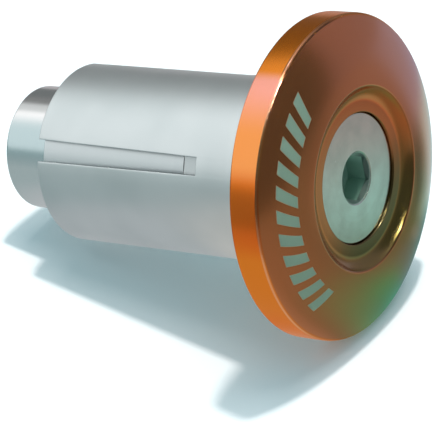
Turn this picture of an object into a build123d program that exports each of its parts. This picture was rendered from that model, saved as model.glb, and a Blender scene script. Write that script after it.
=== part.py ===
from build123d import *
import math
import os

# Expanding bar-end weight, in millimetres. A domed cap closes the end of a handlebar. A countersunk
# screw through it pulls a taper nut up a split sleeve, and the sleeve's fingers spread in the bar.
# The bar's axis is X. The cap's back face lies on X = 0, and its domed face looks along +X.

# Clamp screw, a countersunk socket screw measured over its head
thread_diameter = 6.0
screw_length = 35.0
tip_chamfer = 0.7
head_diameter = 12.0
head_angle = 90.0
head_land = 0.3
socket_across_flats = 4.0
socket_depth = 2.3
socket_chamfer = 0.15
socket_drill_angle = 120.0

# End cap
cap_diameter = 30.0
rim_width = 2.85
rim_chamfer = 0.2
dome_crown = 0.35
recess_depth = 0.75
recess_wall_width = 1.4
recess_floor_width = 1.0
lip_chamfer = 0.25
head_sink = 0.25
seat_web = 0.55

# Split sleeve, with its lengths taken from the cap's back face
sleeve_diameter = 17.3
sleeve_length = 26.7
sleeve_chamfer = 0.25
front_wall = 10.5
rear_wall = 0.55
taper_on_diameter = 0.1
slot_count = 4
slot_start = 8.2
slot_root_width = 1.65
slot_mouth_width = 2.1
slot_overcut = 0.12
slot_clocking = 63.0

# Taper nut
nut_gap = 0.1
nut_sink = 0.3
nut_chamfer = 0.15
collar_step = 2.0
collar_length = 6.4
collar_chamfer = 0.4
thread_chamfer = 0.5

# Clearances, each on the radius
hole_clearance = 0.25
head_clearance = 0.08
taper_clearance = 0.05
thread_clearance = 0.05

# How far a cutting shape runs past the face that it cuts
cut_margin = 1.0

# Radii
thread_radius = thread_diameter / 2
head_radius = head_diameter / 2
cap_radius = cap_diameter / 2
sleeve_radius = sleeve_diameter / 2
hole_radius = thread_radius + hole_clearance
seat_radius = head_radius + head_clearance
recess_floor_radius = seat_radius + recess_floor_width
lip_radius = recess_floor_radius + recess_wall_width
nut_bore_radius = thread_radius + thread_clearance

# Heights along X through the cap, built up from the seat that carries the screw's head
head_slope = math.tan(math.radians(head_angle / 2))
seat_top = seat_web + (seat_radius - hole_radius) / head_slope
head_top = seat_top + head_land
recess_floor = head_top + head_sink
lip_top = recess_floor + recess_depth

# Places along X behind the cap
bore_bottom = -front_wall
sleeve_rear = -sleeve_length
nut_front = bore_bottom - nut_gap
nut_shoulder = sleeve_rear + nut_sink
nut_rear = nut_shoulder - collar_length
screw_tip = head_top - screw_length


def bore_radius(x):
    """Radius of the sleeve's tapered bore at X, widest at the sleeve's rear."""
    return sleeve_radius - rear_wall - (x - sleeve_rear) * taper_on_diameter / 2


def cone_radius(x):
    """Radius of the nut's cone at X, a clearance inside the bore."""
    return bore_radius(x) - taper_clearance


# End cap: a turned disc with a crowned front, a dished recess and a countersunk hole
with BuildPart() as end_cap:
    # The dished wall leaves the recess floor tangentially and meets the dome at the lip
    dish_radius = (recess_depth**2 + recess_wall_width**2) / (2 * recess_depth)
    with BuildSketch(Plane.XY):
        with BuildLine():
            Polyline((recess_floor, 0), (0, 0), (0, cap_radius), (rim_width, cap_radius))
            SagittaArc((rim_width, cap_radius), (lip_top, lip_radius), dome_crown)
            RadiusArc((lip_top, lip_radius), (recess_floor, recess_floor_radius), -dish_radius)
            Line((recess_floor, recess_floor_radius), (recess_floor, 0))
        make_face()
    revolve(axis=Axis.X)
    with BuildSketch(Plane.XY):
        with BuildLine():
            Polyline(
                (-cut_margin, 0),
                (-cut_margin, hole_radius),
                (seat_web, hole_radius),
                (seat_top, seat_radius),
                (recess_floor + cut_margin, seat_radius),
                (recess_floor + cut_margin, 0),
                close=True,
            )
        make_face()
    revolve(axis=Axis.X, mode=Mode.SUBTRACT)
    rings = end_cap.edges().filter_by(lambda edge: edge.is_closed)
    chamfer(rings.group_by(SortBy.RADIUS)[-1], length=rim_chamfer)
    rings = end_cap.edges().filter_by(lambda edge: edge.is_closed)
    chamfer(rings.sort_by(Axis.X)[-1], length=lip_chamfer)

# Clamp screw: a plain shank at the thread's outer diameter, a countersunk head and a hex socket
with BuildPart() as clamp_screw:
    head_neck = seat_top - (head_radius - thread_radius) / head_slope
    with BuildSketch(Plane.XY):
        with BuildLine():
            Polyline(
                (head_top, 0),
                (head_top, head_radius),
                (seat_top, head_radius),
                (head_neck, thread_radius),
                (screw_tip + tip_chamfer, thread_radius),
                (screw_tip, thread_radius - tip_chamfer),
                (screw_tip, 0),
                close=True,
            )
        make_face()
    revolve(axis=Axis.X)
    # The drilled hole under the socket, with a lead-in at its mouth and a drill point below
    flat_radius = socket_across_flats / 2
    mouth_radius = flat_radius / math.cos(math.pi / 6) + socket_chamfer
    socket_floor = head_top - socket_depth
    drill_point = flat_radius / math.tan(math.radians(socket_drill_angle / 2))
    with BuildSketch(Plane.XY):
        with BuildLine():
            Polyline(
                (head_top, 0),
                (head_top, mouth_radius),
                (head_top - (mouth_radius - flat_radius), flat_radius),
                (socket_floor, flat_radius),
                (socket_floor - drill_point, 0),
                close=True,
            )
        make_face()
    revolve(axis=Axis.X, mode=Mode.SUBTRACT)
    with BuildSketch(Plane.YZ.offset(head_top)):
        RegularPolygon(radius=flat_radius, side_count=6, major_radius=False, rotation=30)
    extrude(amount=-socket_depth, mode=Mode.SUBTRACT)

# Split sleeve: a bar with a screw hole at the front, a tapered bore from the rear and saw-cut slots
with BuildPart() as split_sleeve:
    # The section is drawn through the middle of a finger, halfway between two slots
    slot_spacing = 360 / slot_count
    with BuildSketch(Plane.XY.rotated((slot_clocking + slot_spacing / 2, 0, 0))):
        with BuildLine():
            Polyline(
                (0, hole_radius),
                (0, sleeve_radius - sleeve_chamfer),
                (-sleeve_chamfer, sleeve_radius),
                (sleeve_rear + sleeve_chamfer, sleeve_radius),
                (sleeve_rear, sleeve_radius - sleeve_chamfer),
                (sleeve_rear, bore_radius(sleeve_rear)),
                (bore_bottom, bore_radius(bore_bottom)),
                (bore_bottom, hole_radius),
                close=True,
            )
        make_face()
    revolve(axis=Axis.X)
    # The fingers are sprung apart, so each slot widens from its root to its mouth and on past it
    slot_floor_radius = bore_radius(bore_bottom) - slot_overcut
    slot_end = sleeve_rear - cut_margin
    slot_spread = (slot_mouth_width - slot_root_width) / (sleeve_length - slot_start)
    slot_end_width = slot_mouth_width + slot_spread * cut_margin
    for index in range(slot_count):
        slot_turn = slot_clocking + index * slot_spacing
        slot_plane = Plane.XY.rotated((slot_turn, 0, 0)).offset(slot_floor_radius)
        with BuildSketch(slot_plane):
            with BuildLine():
                Polyline(
                    (-slot_start, slot_root_width / 2),
                    (slot_end, slot_end_width / 2),
                    (slot_end, -slot_end_width / 2),
                    (-slot_start, -slot_root_width / 2),
                    close=True,
                )
            make_face()
        extrude(amount=sleeve_radius - slot_floor_radius + cut_margin, mode=Mode.SUBTRACT)

# Taper nut: a long cone that fills the sleeve's bore, with a collar that stands out of its rear
with BuildPart() as taper_nut:
    collar_radius = cone_radius(nut_shoulder) - collar_step
    with BuildSketch(Plane.XY):
        with BuildLine():
            Polyline(
                (nut_front - thread_chamfer, nut_bore_radius),
                (nut_front, nut_bore_radius + thread_chamfer),
                (nut_front, cone_radius(nut_front) - nut_chamfer),
                (nut_front - nut_chamfer, cone_radius(nut_front - nut_chamfer)),
                (nut_shoulder, cone_radius(nut_shoulder)),
                (nut_shoulder, collar_radius),
                (nut_rear + collar_chamfer, collar_radius),
                (nut_rear, collar_radius - collar_chamfer),
                (nut_rear, nut_bore_radius + thread_chamfer),
                (nut_rear + thread_chamfer, nut_bore_radius),
                close=True,
            )
        make_face()
    revolve(axis=Axis.X)

os.makedirs("parts", exist_ok=True)

end_cap.part.label = "end_cap"
export_step(end_cap.part, "parts/end_cap.step")

clamp_screw.part.label = "clamp_screw"
export_step(clamp_screw.part, "parts/clamp_screw.step")

split_sleeve.part.label = "split_sleeve"
export_step(split_sleeve.part, "parts/split_sleeve.step")

taper_nut.part.label = "taper_nut"
export_step(taper_nut.part, "parts/taper_nut.step")
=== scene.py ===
"""Dressed model of an expanding bar-end weight, with its table, studio light and camera.

Sizes are in millimetres, in the same frame as the solids: X is the bar's axis, the cap's back face lies on
X = 0 and the domed face looks along +X. Meshes are written to the scene in metres.
"""

import logging
import math
from dataclasses import dataclass, field
from enum import Enum
from typing import Any, Mapping, Optional, Sequence, Union

import bmesh
import bpy
import numpy as np
from mathutils import Matrix, Vector

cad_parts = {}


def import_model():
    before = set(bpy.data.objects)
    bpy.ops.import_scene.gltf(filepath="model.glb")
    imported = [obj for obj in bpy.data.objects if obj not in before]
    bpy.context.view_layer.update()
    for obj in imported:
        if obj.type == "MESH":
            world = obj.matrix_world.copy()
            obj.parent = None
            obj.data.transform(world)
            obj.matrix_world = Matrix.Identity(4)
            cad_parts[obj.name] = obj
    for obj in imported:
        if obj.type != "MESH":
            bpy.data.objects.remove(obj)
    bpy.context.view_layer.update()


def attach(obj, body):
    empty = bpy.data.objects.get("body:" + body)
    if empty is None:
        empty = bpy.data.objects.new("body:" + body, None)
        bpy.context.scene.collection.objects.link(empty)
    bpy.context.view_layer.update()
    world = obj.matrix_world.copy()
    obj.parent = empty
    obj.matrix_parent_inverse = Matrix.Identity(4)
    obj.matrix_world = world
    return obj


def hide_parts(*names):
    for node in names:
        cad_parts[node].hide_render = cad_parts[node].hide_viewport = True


LOG = logging.getLogger("bar_end_weight")

MM = 0.001
FULL_TURN = 2 * math.pi
WELD_MM = 0.001
SLIVER_MM = 0.0001

Point2 = tuple[float, float]
Span = tuple[Point2, Point2]
Colour = tuple[float, float, float]


class Body(Enum):
    """The moving bodies of the frame."""

    PLUG = "plug"
    SCREW = "screw"
    NUT = "nut"


class Slot(Enum):
    """The record's material slots."""

    ORANGE_ANODISED = "orange_anodised"
    PLATED_STEEL = "plated_steel"
    SATIN_ALUMINIUM = "satin_aluminium"
    TURNED_ALUMINIUM = "turned_aluminium"


# Shader trees


@dataclass(frozen=True)
class Grain:
    """A noise: its grains to a unit of length, its octaves of detail, and how far it moves on in a turn."""

    scale: float
    detail: float
    sweep: float = 0.0


class Wire:
    """A value in a shader tree. Arithmetic on it adds Math nodes."""

    def __init__(self, tree: "ShaderTree", socket: bpy.types.NodeSocket) -> None:
        """Wraps one output socket of the tree."""
        self.tree = tree
        self.socket = socket

    def __add__(self, other: "Number") -> "Wire":
        """This value plus another."""
        return self.tree.math("ADD", self, other)

    __radd__ = __add__

    def __sub__(self, other: "Number") -> "Wire":
        """This value minus another."""
        return self.tree.math("SUBTRACT", self, other)

    def __rsub__(self, other: "Number") -> "Wire":
        """Another value minus this one."""
        return self.tree.math("SUBTRACT", other, self)

    def __mul__(self, other: "Number") -> "Wire":
        """This value times another."""
        return self.tree.math("MULTIPLY", self, other)

    __rmul__ = __mul__

    def __truediv__(self, other: "Number") -> "Wire":
        """This value over another."""
        return self.tree.math("DIVIDE", self, other)

    def __rtruediv__(self, other: "Number") -> "Wire":
        """Another value over this one."""
        return self.tree.math("DIVIDE", other, self)

    def __abs__(self) -> "Wire":
        """The size of this value, without its sign."""
        return self.tree.math("ABSOLUTE", self)

    def fraction(self) -> "Wire":
        """The part of this value after the point."""
        return self.tree.math("FRACT", self)

    def greater(self, other: "Number") -> "Wire":
        """The larger of this value and another."""
        return self.tree.math("MAXIMUM", self, other)

    def rise(self, low: float, high: float) -> "Wire":
        """A smooth step from 0 at low to 1 at high, which may be the smaller."""
        inputs = {"Value": self, "From Min": low, "From Max": high}
        return self.tree.add("ShaderNodeMapRange", {"interpolation_type": "SMOOTHSTEP"}, inputs)["Result"]

    def within(self, span: Span) -> "Wire":
        """A smooth step up over the span's first pair times one down over its second."""
        return self.rise(*span[0]) * self.rise(*span[1])


Number = Union[Wire, float]


def find_socket(sockets: bpy.types.bpy_prop_collection, name: str) -> bpy.types.NodeSocket:
    """Finds a socket of a node.

    Args:
        sockets: The node's inputs or outputs.
        name: The socket's identifier, or its name where no identifier fits.

    Returns:
        The socket.
    """
    for socket in sockets:
        if socket.identifier == name:
            return socket
    return sockets[name]


class Node:
    """A node that was just added, from which sockets are read by name."""

    def __init__(self, tree: "ShaderTree", node: bpy.types.Node) -> None:
        """Wraps one node of the tree."""
        self.tree = tree
        self.node = node

    def __getitem__(self, name: str) -> Wire:
        """The output socket of that identifier or name."""
        return Wire(self.tree, find_socket(self.node.outputs, name))


class ShaderTree:
    """Builds the nodes of one material or of the world."""

    def __init__(self, node_tree: bpy.types.NodeTree) -> None:
        """Takes over a node tree and empties it."""
        self.node_tree = node_tree
        self.node_tree.nodes.clear()

    def add(
        self,
        kind: str,
        settings: Optional[Mapping[str, Any]] = None,
        inputs: Optional[Mapping[str, Any]] = None,
    ) -> Node:
        """Adds any node.

        Args:
            kind: The node's type.
            settings: Its own settings, set before its sockets.
            inputs: Values or wires by the socket's name or identifier.

        Returns:
            The node, for its outputs.
        """
        node = self.node_tree.nodes.new(kind)
        for name, value in (settings or {}).items():
            setattr(node, name, value)
        for name, value in (inputs or {}).items():
            socket = find_socket(node.inputs, name)
            if isinstance(value, Wire):
                self.node_tree.links.new(value.socket, socket)
            elif isinstance(value, tuple) and len(value) == 3 and socket.type == "RGBA":
                socket.default_value = (*value, 1.0)
            else:
                socket.default_value = value
        return Node(self, node)

    def math(self, operation: str, *values: Number) -> Wire:
        """The result of a Math node's operation on one or two values."""
        inputs = dict(zip(("Value", "Value_001"), values))
        return self.add("ShaderNodeMath", {"operation": operation}, inputs)["Value"]

    def blend(self, share: Number, first: Union[Wire, Colour], second: Union[Wire, Colour]) -> Wire:
        """A colour that goes from the first to the second as the share goes from 0 to 1."""
        inputs = {"Factor_Float": share, "A_Color": first, "B_Color": second}
        return self.add("ShaderNodeMix", {"data_type": "RGBA"}, inputs)["Result_Color"]

    def mix(self, share: Wire, first: Wire, second: Wire) -> Wire:
        """A shader that goes from the first to the second as the share goes from 0 to 1."""
        inputs = {"Fac": share, "Shader": first, "Shader_001": second}
        return self.add("ShaderNodeMixShader", None, inputs)["Shader"]

    def noise(self, vector: Wire, grain: Grain) -> Wire:
        """Noise about 0.5, read at a vector."""
        inputs = {"Vector": vector, "Scale": grain.scale, "Detail": grain.detail}
        return self.add("ShaderNodeTexNoise", None, inputs)["Fac"]

    def normal(self, height: Wire, depth_mm: float) -> Wire:
        """A normal bumped by a height from 0 to 1 that stands for a depth in millimetres."""
        inputs = {"Height": height, "Distance": depth_mm * MM, "Strength": 1.0}
        return self.add("ShaderNodeBump", None, inputs)["Normal"]

    def seen(self) -> Wire:
        """1 for what the eye sees, straight, mirrored or through glass, and 0 for what only lights."""
        path = self.add("ShaderNodeLightPath")
        return path["Is Camera Ray"].greater(path["Is Glossy Ray"]).greater(path["Is Transmission Ray"])

    def surface(self, shader: Wire, output: str = "ShaderNodeOutputMaterial") -> None:
        """Makes a shader the tree's surface."""
        self.add(output, None, {"Surface": shader})


@dataclass(frozen=True)
class Lathed:
    """The coordinates of a turned piece as wires, in millimetres and turns."""

    tree: ShaderTree
    place: Wire
    along: Wire
    radius: Wire
    angle: Wire

    @staticmethod
    def of(tree: ShaderTree) -> "Lathed":
        """Reads the piece's own coordinates.

        Args:
            tree: The material's tree.

        Returns:
            The place in metres, and the place along the axis, the radius, and the angle about the axis
            from +Y towards +Z.
        """
        place = tree.add("ShaderNodeTexCoord")["Object"]
        parts = tree.add("ShaderNodeSeparateXYZ", None, {"Vector": place})
        along, across, up = parts["X"] / MM, parts["Y"] / MM, parts["Z"] / MM
        radius = tree.math("SQRT", across * across + up * up)
        angle = tree.math("ARCTAN2", up, across) / FULL_TURN
        return Lathed(tree, place, along, radius, angle)

    def facing(self, turn: float) -> Wire:
        """1 at an angle about the axis, given in turns, falling to -1 on the far side."""
        return self.tree.math("COSINE", (self.angle - turn) * FULL_TURN)

    def lines(self, grain: Grain) -> Wire:
        """Noise drawn out round the axis, as turning leaves it."""
        inputs = {"X": self.along, "Y": self.radius, "Z": self.angle * grain.sweep}
        return self.tree.noise(self.tree.add("ShaderNodeCombineXYZ", None, inputs)["Vector"], grain)


def new_material(name: str) -> tuple[bpy.types.Material, ShaderTree]:
    """Makes an empty material.

    Args:
        name: The material's name.

    Returns:
        The material and its tree.
    """
    material = bpy.data.materials.new(name)
    material.use_nodes = True
    return material, ShaderTree(material.node_tree)


# Finishes


@dataclass(frozen=True)
class EtchedBars:
    """A row of plain slanted bars, etched through the dye along an arc of the dome."""

    inner_radius: float = 10.75
    outer_radius: float = 13.15
    first_degrees: float = 119.0
    last_degrees: float = 223.0
    count: int = 11
    share: float = 0.56
    slant: float = 0.62
    edge: float = 0.05
    row_edge: float = 0.001
    dome_along: Point2 = (2.9, 3.0)

    def mask(self, at: Lathed) -> Wire:
        """Where the bars are.

        Args:
            at: The cap's coordinates.

        Returns:
            1 on a bar and 0 off it.
        """
        turns = (at.angle + 1.0).fraction()
        start, end = self.first_degrees / 360, self.last_degrees / 360
        middle = (self.inner_radius + self.outer_radius) / 2
        pitch = (end - start) / self.count
        lean = (at.radius - middle) * (self.slant * pitch / (self.outer_radius - self.inner_radius))
        row = (turns - start + lean) / pitch
        from_middle = abs(row.fraction() - 0.5)
        bar = from_middle.rise(self.share / 2 + self.edge / 2, self.share / 2 - self.edge / 2)
        in_row = row.within(self.soft_span(0.0, self.count, self.row_edge))
        in_band = at.radius.within(self.soft_span(self.inner_radius, self.outer_radius, self.edge))
        return bar * in_row * in_band * at.along.rise(*self.dome_along)

    @staticmethod
    def soft_span(low: float, high: float, edge: float) -> Span:
        """A span from low to high whose ends are soft by an edge to both sides."""
        return (low - edge, low + edge), (high + edge, high - edge)


@dataclass(frozen=True)
class Finish:
    """A finish, whose colours and marks follow the turned piece's own coordinates."""

    slot: Slot

    def sockets(self, tree: ShaderTree, at: Lathed) -> dict[str, Any]:
        """The values and wires of its shader's sockets, by name."""
        raise NotImplementedError

    def material(self) -> bpy.types.Material:
        """The finish as a material."""
        material, tree = new_material(self.slot.value)
        shader = tree.add("ShaderNodeBsdfPrincipled", None, self.sockets(tree, Lathed.of(tree)))
        tree.surface(shader["BSDF"])
        return material


@dataclass(frozen=True)
class AnodisedFinish(Finish):
    """Gloss orange anodising over a turned face, with painted highlight bands and a painted dark band on the
    rim, broken up by noise, painted shade and a painted lit wall in the recess, worn bare edges, and a
    painted dark stretch of the rim's front edge.
    """

    slot: Slot = Slot.ORANGE_ANODISED
    rings: Grain = Grain(9.0, 3.0)
    cloud: Grain = Grain(0.35, 2.0, 6.0)
    face_dye: Colour = (0.76, 0.245, 0.075)
    rim_dye: Colour = (0.88, 0.262, 0.02)
    rim_radius: Point2 = (14.7, 14.9)
    rim_cover: float = 0.8
    # Painted highlight bands and a painted dark band on the rim.
    painted_warm_highlight: Colour = (0.93, 0.335, 0.085)
    painted_warm_highlight_turns: Span = ((0.320, 0.334), (0.438, 0.424))
    painted_pale_highlight: Colour = (0.98, 0.40, 0.30)
    painted_pale_highlight_turns: Span = ((0.320, 0.334), (0.390, 0.336))
    painted_dark_band: Colour = (0.80, 0.15, 0.012)
    painted_dark_band_turn: float = 0.463
    painted_dark_band_side: Point2 = (0.955, 0.995)
    painted_dark_band_cover: float = 0.6
    cloud_cover: float = 0.4
    # Painted shade in the recess, and a painted lit upper wall.
    painted_recess_shade: Colour = (0.42, 0.12, 0.03)
    painted_shade_cover: float = 0.3
    painted_recess_shade_low_cover: float = 0.5
    painted_recess_shade_cloud_cover: float = 0.2
    recess_radius: Point2 = (8.62, 8.36)
    recess_along: Point2 = (3.2, 3.6)
    painted_lit_wall: Colour = (0.90, 0.235, 0.06)
    wall_radius: Point2 = (7.0, 7.3)
    painted_wall_shade: Colour = (0.26, 0.21, 0.065)
    painted_floor_shade: Colour = (0.11, 0.105, 0.035)
    painted_recess_shade_turn: float = 0.80
    painted_recess_shade_side: Point2 = (-0.1, 0.9)
    painted_shade_share: float = 0.9
    bare_edge: Colour = (0.95, 0.62, 0.42)
    bare_radius: Point2 = (14.84, 14.93)
    bare_from_middle: Point2 = (1.265, 1.345)
    bare_cloud: Point2 = (0.25, 0.75)
    bare_cover: float = 0.55
    rim_middle: float = 1.425
    # A stretch of the rim's front edge painted dark, as painted shade.
    painted_dark_edge: Colour = (0.12, 0.05, 0.025)
    painted_dark_edge_radius: Point2 = (14.72, 14.80)
    painted_dark_edge_along: Point2 = (2.59, 2.67)
    painted_dark_edge_turns: Span = ((0.20, 0.24), (0.337, 0.317))
    painted_dark_edge_cover: float = 0.95
    etched: Colour = (0.27, 0.39, 0.30)
    bars: EtchedBars = EtchedBars()
    bar_oxide: float = 0.55
    bar_depth: float = 0.6
    roughness: float = 0.18
    ring_roughness: float = 0.10
    bar_roughness: float = 0.40
    dull_roughness: float = 0.25
    gloss_tint: Colour = (1.0, 0.78, 0.62)
    rim_coat_loss: float = 0.85
    recess_coat_loss: float = 0.55
    coat_roughness: float = 0.17
    coat_ior: float = 1.62
    relief_mm: float = 0.004

    def rim_colour(self, tree: ShaderTree, at: Lathed, cloud: Wire) -> Wire:
        """The rim's dye, with painted highlight bands and a painted dark band, broken up by noise.

        Args:
            tree: The material's tree.
            at: The cap's coordinates.
            cloud: Soft noise that varies it.

        Returns:
            The colour.
        """
        painted_highlight_share = self.rim_cover + self.cloud_cover * cloud
        # Painted highlights: a warm bright band and a pale band along part of the rim.
        colour = tree.blend(at.angle.within(self.painted_warm_highlight_turns) * painted_highlight_share, self.rim_dye, self.painted_warm_highlight)
        colour = tree.blend(at.angle.within(self.painted_pale_highlight_turns) * painted_highlight_share, colour, self.painted_pale_highlight)
        # Painted shade: a deeper, darker band round one side of the rim.
        painted_dark_band_share = at.facing(self.painted_dark_band_turn).rise(*self.painted_dark_band_side)
        painted_dark_band_share = painted_dark_band_share * (self.painted_dark_band_cover + self.cloud_cover * cloud)
        return tree.blend(painted_dark_band_share, colour, self.painted_dark_band)

    def sockets(self, tree: ShaderTree, at: Lathed) -> dict[str, Any]:
        """The values and wires of its shader's sockets.

        Args:
            tree: The material's tree.
            at: The cap's coordinates.

        Returns:
            Values and wires by the socket's name.
        """
        rings = at.lines(self.rings)
        cloud = at.lines(self.cloud)
        bars = self.bars.mask(at)
        plain = 1.0 - bars
        on_rim = at.radius.rise(*self.rim_radius)
        in_recess = at.radius.rise(*self.recess_radius) * at.along.rise(*self.recess_along)
        on_wall = in_recess * at.radius.rise(*self.wall_radius)
        low_side = at.facing(self.painted_recess_shade_turn).rise(*self.painted_recess_shade_side)
        # Painted shade in the recess, darker on its low side and broken up by noise.
        painted_shade = self.painted_shade_cover + self.painted_recess_shade_low_cover * low_side + self.painted_recess_shade_cloud_cover * cloud
        bare = at.radius.rise(*self.bare_radius) * cloud.rise(*self.bare_cloud)
        bare = bare * abs(at.along - self.rim_middle).rise(*self.bare_from_middle)
        # Painted shade: part of the rim's front edge is painted dark, and roughened, to hold back a glint.
        dull = at.radius.rise(*self.painted_dark_edge_radius) * at.along.rise(*self.painted_dark_edge_along)
        dull = dull * at.angle.within(self.painted_dark_edge_turns)
        colour = tree.blend(on_rim, self.face_dye, self.rim_colour(tree, at, cloud))
        colour = tree.blend(in_recess * painted_shade, colour, self.painted_recess_shade)
        # Painted light: the recess wall away from its low side is a brighter, fuller orange.
        colour = tree.blend(on_wall * (1.0 - low_side), colour, self.painted_lit_wall)
        # Painted shade: the recess's floor and wall go dark on its low side.
        painted_shade_colour = tree.blend(on_wall, self.painted_floor_shade, self.painted_wall_shade)
        colour = tree.blend(in_recess * low_side * self.painted_shade_share, colour, painted_shade_colour)
        colour = tree.blend(bare * self.bare_cover, colour, self.bare_edge)
        colour = tree.blend(dull * self.painted_dark_edge_cover, colour, self.painted_dark_edge)
        roughness = self.roughness + self.ring_roughness * rings
        coat = 1.0 - self.rim_coat_loss * on_rim - self.recess_coat_loss * in_recess
        return {
            "Base Color": tree.blend(bars, colour, self.etched),
            "Metallic": 1.0 - self.bar_oxide * bars,
            "Roughness": roughness + self.bar_roughness * bars + self.dull_roughness * dull,
            "Coat Weight": plain * coat,
            "Specular Tint": self.gloss_tint,
            "Coat Roughness": self.coat_roughness,
            "Coat IOR": self.coat_ior,
            "Normal": tree.normal(rings * plain - self.bar_depth * bars, self.relief_mm),
        }


@dataclass(frozen=True)
class PlatedFinish(Finish):
    """Bright zinc plate on a steel screw, slightly dulled, with painted shade in the socket, darkest on its
    lower facets and at its mouth.
    """

    slot: Slot = Slot.PLATED_STEEL
    mottle: Grain = Grain(500.0, 3.0)
    grain: Grain = Grain(6000.0, 2.0)
    rings: Grain = Grain(7.0, 2.0)
    plate: Colour = (0.72, 0.78, 0.75)
    dulled: Colour = (0.67, 0.725, 0.70)
    dulled_mottle: Point2 = (0.35, 0.75)
    # Painted shade in the socket, on its lower facets and at its mouth.
    painted_shade_colour: Colour = (0.36, 0.60, 0.48)
    painted_shade_share: float = 0.85
    socket_radius: Point2 = (2.5, 2.44)
    socket_along: Span = ((3.67, 3.50), (-0.2, 0.0))
    painted_deep_shade: Colour = (0.115, 0.215, 0.155)
    painted_socket_shade_turn: float = 0.875
    painted_socket_shade_side: Point2 = (0.0, 0.6)
    painted_shade_cover: float = 0.9
    painted_mouth_shade: Colour = (0.035, 0.06, 0.05)
    painted_mouth_shade_side: Point2 = (-0.5, 0.2)
    mouth_along: Point2 = (3.13, 3.26)
    painted_mouth_shade_cover: float = 0.9
    head_along: Point2 = (-0.2, 0.2)
    socket_oxide: float = 0.6
    painted_shade_metal_loss: float = 0.25
    roughness: float = 0.15
    mottle_roughness: float = 0.13
    ring_roughness: float = 0.05
    socket_roughness: float = 0.30
    grain_depth: float = 0.6
    relief_mm: float = 0.003

    def sockets(self, tree: ShaderTree, at: Lathed) -> dict[str, Any]:
        """The values and wires of its shader's sockets.

        Args:
            tree: The material's tree.
            at: The screw's coordinates.

        Returns:
            Values and wires by the socket's name.
        """
        mottle = tree.noise(at.place, self.mottle)
        grain = tree.noise(at.place, self.grain)
        rings = at.lines(self.rings)
        in_socket = at.radius.rise(*self.socket_radius) * at.along.within(self.socket_along)
        at_mouth = at.along.rise(*self.mouth_along)
        facing = at.facing(self.painted_socket_shade_turn)
        # Painted shade: the socket's lower facets and its mouth go darker.
        painted_shade = in_socket * facing.rise(*self.painted_socket_shade_side).greater(at_mouth)
        # Painted shade: the mouth's chamfer goes darkest on one side.
        mouth_shade_mask = in_socket * facing.rise(*self.painted_mouth_shade_side) * at_mouth
        colour = tree.blend(mottle.rise(*self.dulled_mottle), self.plate, self.dulled)
        # Painted shade: the whole socket darker and greener than the plate.
        colour = tree.blend(in_socket * self.painted_shade_share, colour, self.painted_shade_colour)
        colour = tree.blend(painted_shade * self.painted_shade_cover, colour, self.painted_deep_shade)
        roughness = self.roughness + self.mottle_roughness * mottle
        relief = grain * self.grain_depth + rings * at.along.rise(*self.head_along)
        return {
            "Base Color": tree.blend(mouth_shade_mask * self.painted_mouth_shade_cover, colour, self.painted_mouth_shade),
            "Metallic": 1.0 - self.socket_oxide * in_socket - self.painted_shade_metal_loss * painted_shade,
            "Roughness": roughness + self.ring_roughness * rings + self.socket_roughness * in_socket,
            "Normal": tree.normal(relief, self.relief_mm),
        }


@dataclass(frozen=True)
class SatinFinish(Finish):
    """Bare aluminium with a fine satin skin over faint turning lines, with painted shade on the sawn slot
    walls and at the slots' end.
    """

    slot: Slot = Slot.SATIN_ALUMINIUM
    lines: Grain = Grain(11.0, 2.0, 0.6)
    grain: Grain = Grain(4500.0, 2.0)
    cloud: Grain = Grain(120.0, 2.0)
    bright: Colour = (0.72, 0.79, 0.80)
    dull: Colour = (0.63, 0.705, 0.715)
    dull_cloud: Point2 = (0.3, 0.75)
    # Painted shade on the slot walls and at the slots' end.
    painted_slot_shade: Colour = (0.22, 0.26, 0.27)
    sawn_radius: Span = ((8.60, 8.53), (7.20, 7.35))
    painted_slot_shade_cover: float = 0.9
    end_radius: Point2 = (7.4, 7.2)
    end_along: Point2 = (-10.6, -10.4)
    slot_end_shade_cover: float = 0.2
    roughness: float = 0.29
    line_roughness: float = 0.07
    cloud_roughness: float = 0.08
    sawn_roughness: float = 0.15
    grain_depth: float = 0.7
    relief_mm: float = 0.0025

    def sockets(self, tree: ShaderTree, at: Lathed) -> dict[str, Any]:
        """The values and wires of its shader's sockets.

        Args:
            tree: The material's tree.
            at: The sleeve's coordinates.

        Returns:
            Values and wires by the socket's name.
        """
        lines = at.lines(self.lines)
        grain = tree.noise(at.place, self.grain)
        cloud = tree.noise(at.place, self.cloud)
        # Painted shade on the sawn slot walls, and a little on the slot floor at the slots' end.
        painted_slot_shade = at.radius.within(self.sawn_radius)
        slot_end_shade = at.radius.rise(*self.end_radius) * at.along.rise(*self.end_along)
        colour = tree.blend(cloud.rise(*self.dull_cloud), self.bright, self.dull)
        colour = tree.blend(painted_slot_shade * self.painted_slot_shade_cover, colour, self.painted_slot_shade)
        roughness = self.roughness + self.line_roughness * lines
        return {
            "Base Color": tree.blend(slot_end_shade * self.slot_end_shade_cover, colour, self.painted_slot_shade),
            "Metallic": 1.0,
            "Roughness": roughness + self.cloud_roughness * cloud + self.sawn_roughness * painted_slot_shade,
            "Normal": tree.normal(lines + self.grain_depth * grain, self.relief_mm),
        }


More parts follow.
